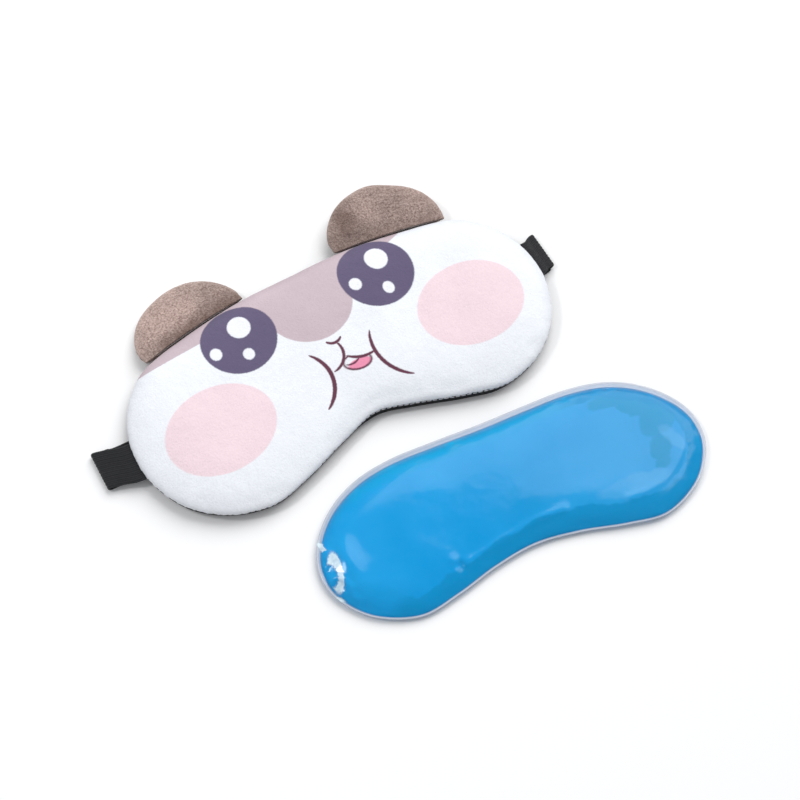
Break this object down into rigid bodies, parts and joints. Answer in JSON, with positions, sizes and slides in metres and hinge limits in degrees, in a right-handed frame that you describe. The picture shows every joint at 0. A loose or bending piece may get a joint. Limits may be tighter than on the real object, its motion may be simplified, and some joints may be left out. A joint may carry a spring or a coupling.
{
  "type": "eye pillow",
  "caption": "Padded plush eye pillow with a cartoon animal face, two soft ears, an elastic head strap and a flap pocket, beside its removable kidney-shaped gel pack.",
  "frame": {"origin": "centre of the mask's back, on the plane that the mask and the gel pack rest on", "axes": "+X from the mask's left end to its right end in a view from above, +Y towards the ears, +Z out of the face, up from the table"},
  "size_m": [0.243, 0.2082, 0.0126],
  "materials": {
    "face_plush": "matte",
    "wadding": "matte",
    "lining": "matte",
    "back_fabric": "matte",
    "thread": "matte",
    "dark_thread": "matte",
    "loop_tape": "matte",
    "hook_tape": "matte",
    "elastic": "matte",
    "ear_plush": "matte",
    "film": "gloss",
    "gel": "gloss"
  },
  "bodies": {
    "mask": {"front_panel": "face_plush", "front_padding": "wadding", "pocket_lining": "lining", "back_panel_upper": "back_fabric", "back_panel_lower": "back_fabric", "seam_thread": "thread", "mouth_bar_tacks": "dark_thread", "loop_strip": "loop_tape", "elastic_strap": "elastic", "strap_end_stitching": "dark_thread"},
    "pocket_flap": {"closure_flap": "back_fabric", "hook_strip": "hook_tape"},
    "left_ear": {"left_ear_front": "ear_plush", "left_ear_filling": "wadding", "left_ear_back": "ear_plush"},
    "right_ear": {"right_ear_front": "ear_plush", "right_ear_filling": "wadding", "right_ear_back": "ear_plush"},
    "gel_pack": {"gel_film_top": "film", "gel_filling": "gel", "gel_film_bottom": "film"}
  },
  "joints": [
    {"name": "left_ear_fold", "type": "hinge", "parent": "mask", "child": "left_ear", "pos_m": [-0.02465, 0.0495, 0.0052], "axis": [0.9869, 0.1616, 0], "range_deg": [-20, 72], "stiffness_Nm_per_rad": 0.006},
    {"name": "right_ear_fold", "type": "hinge", "parent": "mask", "child": "right_ear", "pos_m": [0.02465, 0.0495, 0.0052], "axis": [0.9869, -0.1616, 0], "range_deg": [-32, 60], "stiffness_Nm_per_rad": 0.006},
    {"name": "pocket_flap_fold", "type": "hinge", "parent": "mask", "child": "pocket_flap", "pos_m": [0, 0.03405, 0], "axis": [1, 0, 0], "range_deg": [0, 150]},
    {"name": "gel_pack_lift", "type": "slide", "parent": "mask", "child": "gel_pack", "axis": [0, 0, 1], "range_m": [0, 0.12]}
  ]
}
